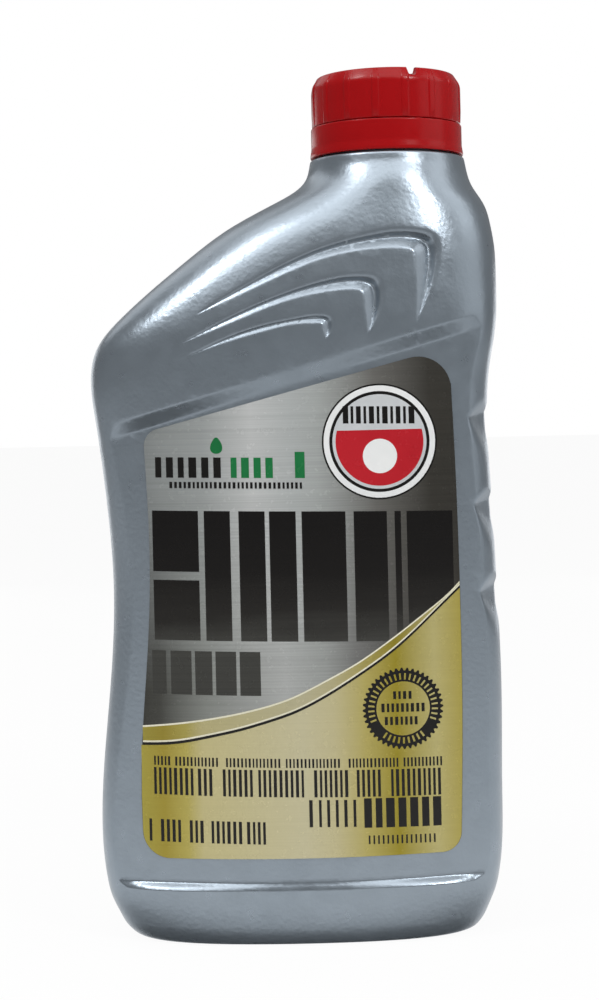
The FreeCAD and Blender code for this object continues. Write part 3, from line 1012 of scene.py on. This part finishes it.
def arcPart(x, z, radius, low, high, count=40):  # the part of a round field between two heights
    start, end = math.asin(max(low / radius, -1.0)), math.asin(min(high / radius, 1.0))
    right = [start + (end - start) * i / count for i in range(count + 1)]
    left = [math.pi - angle for angle in reversed(right)]
    return [(x + radius * math.cos(angle), z + radius * math.sin(angle)) for angle in right + left]


printLook = {
    "gloss": 0.3,
    "grain": 500.0,
    "rough": (0.24, 0.28),
    "span": 42,  # the tones below run from this far left to this far right
    "silverHigh": (
        (-42, (138, 142, 142)), (-34.6, (152, 156, 155)), (-24.4, (165, 169, 168)), (-11.7, (204, 206, 205)),
        (-1.5, (186, 190, 189)), (5.0, (176, 180, 178)), (20.0, (112, 111, 107)), (34.0, (60, 58, 53)),
        (42.0, (56, 54, 49))),
    "silverLow": (
        (-42, (60, 60, 55)), (-36.7, (70, 70, 65)), (-24.4, (140, 143, 138)), (-4.0, (182, 184, 182)),
        (6.2, (160, 163, 160)), (13.9, (120, 120, 118)), (26.0, (78, 76, 72)), (42.0, (56, 53, 47))),
    "gold": (
        (-42, (172, 160, 70)), (-36, (165, 148, 55)), (-30, (185, 172, 90)), (-26, (200, 190, 138)),
        (0, (203, 196, 160)), (8, (199, 190, 146)), (16, (184, 171, 98)), (24, (156, 141, 38)),
        (34, (190, 180, 120)), (42, (172, 157, 68))),
    "dark": (
        (0.08, (60, 60, 56)), (0.36, (66, 66, 62)), (0.55, (34, 32, 29)), (0.75, (17, 14, 12)), (1.0, (14, 11, 10))),
    "inks": {
        "black": ((14, 13, 12), (22, 20, 18)),
        "white": ((232, 234, 234), (240, 241, 240)),
        "red": ((182, 26, 38), (190, 30, 42)),
        "green": ((22, 108, 58), (28, 118, 64)),
        "pale": ((226, 222, 196), (236, 232, 210)),
        "grey": ((196, 200, 202), (206, 209, 211)),
    },
}


def acrossLabel(tree, place, stops):
    span = printLook["span"]
    share = spread(tree, along(tree, place, "X"), 0.0, 1.0, -span * mm, span * mm)
    return ramp(tree, share, [((x + span) / (2 * span), tone(*colour)) for x, colour in stops])


def upLabel(tree, place, low, high):
    return spread(tree, along(tree, place, "Z"), 0.0, 1.0, low * mm, high * mm)


def brushed(tree, place, colour, low, high):  # streaks that run across the label
    streaks = noise(tree, mapped(tree, place, (9.0, 9.0, 2600.0)), 1.0, 3.0, 0.6)
    grey = ramp(tree, streaks, [(0.3, (low, low, low)), (0.7, (high, high, high))])
    return blended(tree, 1.0, colour, grey, "MULTIPLY"), streaks


def printMaterial(name, metallic=0.0):
    material, tree, shader, place = newMaterial(name)
    grain = noise(tree, place, printLook["grain"], 2.0)
    feed(tree, shader, {
        "Metallic": metallic,
        "Specular IOR Level": printLook["gloss"],
        "Roughness": spread(tree, grain, *printLook["rough"], 0.3, 0.7),
    })
    return material, tree, shader, place


def silverFilm():
    material, tree, shader, place = printMaterial("silverFilm", 0.1)
    high = acrossLabel(tree, place, printLook["silverHigh"])
    low = acrossLabel(tree, place, printLook["silverLow"])
    plain = blended(tree, upLabel(tree, place, 66, 118), low, high)
    colour, streaks = brushed(tree, place, plain, 0.80, 1.0)
    feed(tree, shader, {"Base Color": colour})
    bump(tree, shader, streaks, 0.12, 0.00001)
    return material


def goldFilm(name, bright):
    material, tree, shader, place = printMaterial(name, 0.15)
    field = acrossLabel(tree, place, printLook["gold"])
    feed(tree, shader, {"Base Color": brushed(tree, place, field, bright - 0.06, bright)[0]})
    return material


def darkPrint():
    material, tree, shader, place = printMaterial("darkPrint")
    cloud = noise(tree, mapped(tree, place, (40.0, 40.0, 160.0)), 1.0, 3.0)
    wander = calculated(tree, "MULTIPLY_ADD", cloud, 0.16, upLabel(tree, place, 62, 112))
    fade = ramp(tree, wander, [(share, tone(*colour)) for share, colour in printLook["dark"]])
    feed(tree, shader, {"Base Color": brushed(tree, place, fade, 0.8, 1.0)[0]})
    return material


def inkMaterial(name, first, second):
    material, tree, shader, place = printMaterial(name + "Ink")
    cloud = noise(tree, place, 90.0, 2.0)
    feed(tree, shader, {"Base Color": ramp(tree, cloud, [(0.35, tone(*first)), (0.65, tone(*second))])})
    return material


inks = {name: inkMaterial(name, *tones) for name, tones in printLook["inks"].items()}
silver = silverFilm()
gold = goldFilm("goldField", 1.0)
goldDeep = goldFilm("goldBand", 0.86)
dark = darkPrint()


def printed(name, material, side, layer, outlines=(), rings=()):
    piece = filmPiece(name, outlines, labelShape["layers"][layer], labelShape["ink"], side, rings)
    finishPiece(piece, material, 30.0, "bottle")


def labelBase(name, side, node):
    film = filmPiece(name, [labelOutline()], labelShape["glue"], labelShape["film"], side)
    size = labelShape["edgeRound"] * mm
    modify(film, "BEVEL", width=size, segments=3, limit_method="ANGLE", angle_limit=math.radians(60.0))
    finishPiece(film, silver, 30.0, "bottle", node)


def sweepPieces(prefix, side):
    low, high = sweep["endHeights"]
    left, right = float(labelLeft(low)) + sweep["margin"], float(labelRight(high)) - sweep["margin"]
    line, edge = sweep["line"], sweep["edge"]
    band = ribbon(lambda x: lowerAt(x) - sweep["overlap"], upperAt, left, right)
    printed(prefix + "GoldField", gold, side, 0, [goldPart()])
    printed(prefix + "GoldBand", goldDeep, side, 1, [band])
    printed(prefix + "SweepLine", inks["black"], side, 2, [ribbon(lowerAt, lambda x: lowerAt(x) + line, left, right)])
    printed(prefix + "SweepEdge", inks["pale"], side, 2, [
        ribbon(lambda x: upperAt(x) - edge, upperAt, left, right),
        ribbon(lambda x: lowerAt(x) + line, lambda x: lowerAt(x) + line + edge, left, right)])


frontPrint = {
    "tall": (  # left, right, bottom, top
        (-37.6, -25.7, 78.0, 93.4), (-37.6, -25.7, 95.6, 111.2), (-24.2, -17.5, 78.0, 111.2),
        (-15.3, -8.6, 78.0, 111.2), (-7.5, -0.7, 78.0, 111.2), (0.8, 12.0, 78.0, 111.2), (14.1, 22.6, 78.0, 111.2),
        (24.6, 26.2, 78.0, 111.2), (27.7, 39.6, 78.0, 111.2)),
    "short": ((-38.4, -34.8), (-33.6, -28.2), (-27.3, -22.9), (-22.0, -16.7), (-15.8, -10.5)),
    "shortHeights": (64.1, 75.3),
    "lines": (  # bottom, top, pitch and share of the strokes, then left and right of each group
        (45.8, 48.1, 0.95, 0.48, (
            (-38.5, -33.7), (-33.0, -21.7), (-19.9, -5.6), (-4.6, 9.5), (11.4, 24.8), (25.5, 36.2))),
        (38.3, 45.2, 1.35, 0.52, (
            (-38.6, -28.2), (-27.2, -22.7), (-20.8, -12.7), (-11.7, 0.3), (2.5, 12.2), (13.4, 20.7), (22.2, 35.9))),
        (26.2, 31.9, 1.40, 0.52, (
            (-40.1, -38.8), (-37.1, -30.6), (-29.6, -25.2), (-24.0, -16.1), (-14.9, -9.0))),
    ),
    "rows": (  # left, right, bottom, top, pitch, share, seed
        (1.1, 14.0, 30.7, 37.6, 2.3, 0.34, 4),
        (15.1, 36.0, 30.4, 37.9, 2.9, 0.66, 2),
        (16.1, 34.8, 26.2, 28.4, 1.2, 0.36, 5),
        (-36.5, -17.9, 119.7, 124.9, 3.0, 0.58, 3),
        (-32.9, 1.8, 117.0, 118.6, 1.15, 0.55, 1),
    ),
    "greenRow": (-17.0, -5.2, 119.7, 124.9, 2.9, 0.60, 6),
    "greenBlock": (-0.6, 1.9, 119.7, 126.4),
    "greenDrop": (-20.6, 128.4, 1.5, 2.1),  # x, height, half width, half height
    "badge": (21.2, 129.0, 14.8),
    "seal": (25.7, 60.1, 10.4),
}


def dropShape(x, z, halfWidth, halfHeight):
    return [(x + halfWidth * math.cos(t) * (1 - 0.35 * math.sin(t)), z + halfHeight * math.sin(t))
            for t in evenAngles(36)]


def frontPieces():
    p = frontPrint
    labelBase("frontFilm", front, "front_label")
    sweepPieces("front", front)
    printed("frontTallPrint", dark, front, 0, [above(*area) for area in p["tall"]])
    printed("frontShortPrint", dark, front, 0, [block(*ends, *p["shortHeights"]) for ends in p["short"]])
    rows = []
    for low, high, pitch, share, groups in p["lines"]:
        for number, (left, right) in enumerate(groups):
            rows += strokes(left, right, low, high, pitch, share, number)
    for row in p["rows"]:
        rows += strokes(*row)
    printed("frontSmallPrint", inks["black"], front, 3, rows)
    greens = strokes(*p["greenRow"]) + [block(*p["greenBlock"]), dropShape(*p["greenDrop"])]
    printed("frontGreenPrint", inks["green"], front, 0, greens)
    badgePieces(*p["badge"])
    sealPieces(*p["seal"])


badgePrint = {
    "marks": ((11.9, 13.3), (13.9, 14.6), (15.3, 16.5), (17.2, 17.9), (18.6, 19.9), (20.6, 21.3), (22.0, 23.4),
              (24.1, 24.8), (25.5, 26.7), (27.4, 28.1), (28.8, 30.3)),
    "markHeights": (4.6, 9.0),  # over the middle
    "redTop": 3.0,
    "spot": (3.7, 4.4),  # how far below the middle, radius
}


def badgePieces(x, z, radius):
    p = badgePrint
    level = z + x * labelShape["tilt"]
    for name, ink, layer, inset in (
        ("badgeRim", "black", 1, 0.0), ("badgeWhite", "white", 2, 0.45), ("badgeRing", "black", 4, 1.9),
        ("badgeFace", "grey", 5, 2.7),
    ):
        printed(name, inks[ink], front, layer, [circle(x, level, radius - inset)])
    printed("badgeRed", inks["red"], front, 6, [arcPart(x, level, radius - 3.5, -radius, p["redTop"])])
    low, high = (z + height for height in p["markHeights"])
    printed("badgeMarks", inks["black"], front, 6, [block(*ends, low, high) for ends in p["marks"]])
    drop, size = p["spot"]
    printed("badgeSpot", inks["white"], front, 7, [circle(x, level - drop, size)])


sealPrint = {
    "teeth": 44,
    "toothDepth": 0.7,
    "face": 6.9,
    "arcs": ((205.0, -25.0, 26, 0.45), (230.0, 310.0, 9, 0.5)),  # start, end, count, width
    "arcRadius": 8.2,
    "arcSize": 1.6,
    "rows": (  # left, right, bottom, top from the middle, pitch, share, seed
        (-2.5, 2.7, 3.0, 5.0, 1.3, 0.55, 2),
        (-5.6, 5.8, -0.3, 1.9, 1.3, 0.55, 4),
        (-4.8, 5.0, -3.6, -1.5, 1.3, 0.55, 7),
    ),
}


def sealPieces(x, z, radius):
    p = sealPrint
    printed("sealRing", inks["black"], front, 5, [toothed(x, z, radius, p["toothDepth"], p["teeth"])])
    printed("sealFace", gold, front, 6, [circle(x, z, p["face"])])
    marks = []
    for arc in p["arcs"]:
        marks += around(x, z, p["arcRadius"], p["arcSize"], *arc)
    printed("sealMarks", gold, front, 6, marks)
    lines = []
    for left, right, low, high, *pattern in p["rows"]:
        lines += strokes(x + left, x + right, z + low, z + high, *pattern)
    printed("sealPrint", inks["black"], front, 7, lines)


backPrint = {
    "heading": ((-36.0, -27.0), (-25.5, -16.0), (-14.5, -6.0), (-4.5, 5.0), (6.5, 15.0), (16.5, 26.0), (27.5, 36.0)),
    "headingHeights": (121.0, 127.5),
    "columns": ((-36.5, -2.5), (2.0, 36.5)),
    "rows": (  # height, how far short of the column's right side
        (116.0, 0.0), (112.6, 3.0), (109.2, 1.0), (105.8, 6.0), (102.4, 11.0), (97.4, 0.5), (94.0, 2.0),
        (90.6, 4.0), (87.2, 14.0)),
    "lowRows": (47.0, 43.6, 40.2, 36.8),
    "rowLook": (1.35, 0.6),  # pitch and share of the strokes
    "rowHeight": 1.7,
    "lastRow": (-9.0, 20.0, 27.0, 30.5, 2.2, 0.6, 2),
    "panel": (-36.5, -12.5, 27.0, 47.5),
    "bars": ((2.0, 3.5, 18.9, 0.95, 0.55, 5), (4.0, 1.0, 2.6, 1.6, 0.6, 1)),  # inset, bottom, top, pitch, share, seed
    "ring": (24.0, 138.0),
    "ringRadii": (6.0, 4.6),
}


def backPieces():
    p = backPrint
    labelBase("backFilm", rear, "back_label")
    sweepPieces("back", rear)
    printed("backHeading", dark, rear, 0, [block(*ends, *p["headingHeights"]) for ends in p["heading"]])
    rows = []
    for left, right in p["columns"]:
        for number, (height, short) in enumerate(p["rows"]):
            if height - 2.0 > upperAt(right) + 1.0:
                rows += strokes(left, right - short, height, height + p["rowHeight"], *p["rowLook"], number)
    for number, height in enumerate(p["lowRows"]):
        end = p["columns"][1][1] - 4.0 * (number % 3)
        rows += strokes(p["lastRow"][0], end, height, height + p["rowHeight"], *p["rowLook"], number + 3)
    rows += strokes(*p["lastRow"])
    printed("backSmallPrint", inks["black"], rear, 5, rows)
    left, right, low, high = p["panel"]
    printed("backPanel", inks["white"], rear, 3, [block(left, right, low, high)])
    bars = []
    for inset, bottom, top, *pattern in p["bars"]:
        bars += strokes(left + inset, right - inset, low + bottom, low + top, *pattern)
    printed("backBars", inks["black"], rear, 5, bars)
    printed("backRing", inks["green"], rear, 0, [], [[circle(*p["ring"], radius) for radius in p["ringRadii"]]])


frontPieces()
backPieces()


# floor, world and lamps

studio = {
    "floorTone": (0.90, 0.90, 0.90),
    "floorWhite": 0.95,
    "floorSheen": (0.05, 1.0, 0.20, 0.52),
    "floorReach": (0.1, 1.4),  # metres from the middle, for the stops of the next line
    "floorFar": ((0.0, 0.98), (0.2, 0.76), (0.55, 0.54), (1.0, 0.28)),
    "white": (1.0, 1.0, 1.0, 1.0),
    "skyLevel": 0.27,
    "aim": (0.0, 0.0, 0.12),
    "lamps": (
        # name, degrees round from the front, degrees up, distance, width, height, watts
        ("frontLeft", -55.0, 52.0, 1.0, 0.22, 0.22, 2.1),
        ("frontRight", 40.0, 38.0, 1.0, 0.17, 0.17, 2.2),
        ("aboveFront", 0.0, 58.0, 0.9, 0.80, 0.50, 2.5),
        ("above", 180.0, 84.0, 0.95, 1.10, 0.50, 2.2),
        ("shoulderLeft", -62.0, 62.0, 0.9, 0.30, 0.20, 0.35),
        ("shoulderRight", 84.0, 38.0, 0.9, 0.44, 0.42, 0.8),
        ("wallRight", 72.0, 12.0, 1.1, 0.80, 0.44, 0.7),
        ("backLeft", -140.0, 40.0, 1.0, 0.50, 0.50, 0.6),
        ("behindLeft", -151.0, 4.0, 0.95, 0.45, 0.36, 0.62),
        ("behindRight", 151.0, 0.0, 0.95, 0.45, 0.24, 0.45),
    ),
}


def paleFloor():  # white to the camera, satin in reflections: less where it is steep below or far away
    material, tree, shader, place = newMaterial("paleFloor")
    feed(tree, shader, {"Base Color": (*studio["floorTone"], 1.0), "Roughness": 0.8})
    slant = made(tree, "LayerWeight", {"Blend": 0.5})
    sheen = spread(tree, slant.outputs["Facing"], *studio["floorSheen"])
    away = made(tree, "VectorMath", {0: place}, operation="LENGTH")
    far = ramp(tree, spread(tree, away.outputs["Value"], 0.0, 1.0, *studio["floorReach"]),
               [(at, (level, level, level)) for at, level in studio["floorFar"]])
    rays = made(tree, "LightPath", {}).outputs
    mirrored = calculated(tree, "MAXIMUM", rays["Is Glossy Ray"], rays["Is Transmission Ray"])
    seen = calculated(tree, "MAXIMUM", rays["Is Camera Ray"], mirrored)
    strength = calculated(tree, "MAXIMUM", calculated(tree, "MULTIPLY", sheen, far), rays["Is Camera Ray"])
    glow = made(tree, "Emission", {"Color": studio["white"], "Strength": strength})
    share = calculated(tree, "MULTIPLY", seen, studio["floorWhite"])
    surface = mixedShaders(tree, share, shader.outputs[0], glow.outputs[0])
    feed(tree, tree.nodes["Material Output"], {"Surface": surface})
    return material


def paleSky():  # white to the camera, a soft light to the bottle
    world = bpy.data.worlds.new("studioWorld")
    world.use_nodes = True
    tree = world.node_tree
    tree.nodes.clear()
    soft = made(tree, "Background", {"Strength": studio["skyLevel"]})
    white = made(tree, "Background", {"Color": studio["white"], "Strength": 1.0})
    rays = made(tree, "LightPath", {}).outputs
    surface = mixedShaders(tree, rays["Is Camera Ray"], soft.outputs[0], white.outputs[0])
    made(tree, "OutputWorld", {"Surface": surface})
    return world


def addLamp(name, turn, rise, distance, width, height, watts):
    turn, rise = math.radians(turn), math.radians(rise)
    toLamp = Vector((math.sin(turn) * math.cos(rise), -math.cos(turn) * math.cos(rise), math.sin(rise)))
    data = bpy.data.lights.new(name, "AREA")
    data.shape = "RECTANGLE"
    data.size = width
    data.size_y = height
    data.energy = watts
    lamp = linked(name, data)
    lamp.location = Vector(studio["aim"]) + toLamp * distance
    lamp.rotation_euler = toLamp.to_track_quat("Z", "Y").to_euler()
    lamp.visible_camera = False


deselectAll()
bpy.ops.mesh.primitive_plane_add(size=12.0)
floor = bpy.context.object
floor.name = "floor"
floor.data.materials.append(paleFloor())
bpy.context.scene.world = paleSky()
for lamp in studio["lamps"]:
    addLamp(*lamp)
print("stage: studio")
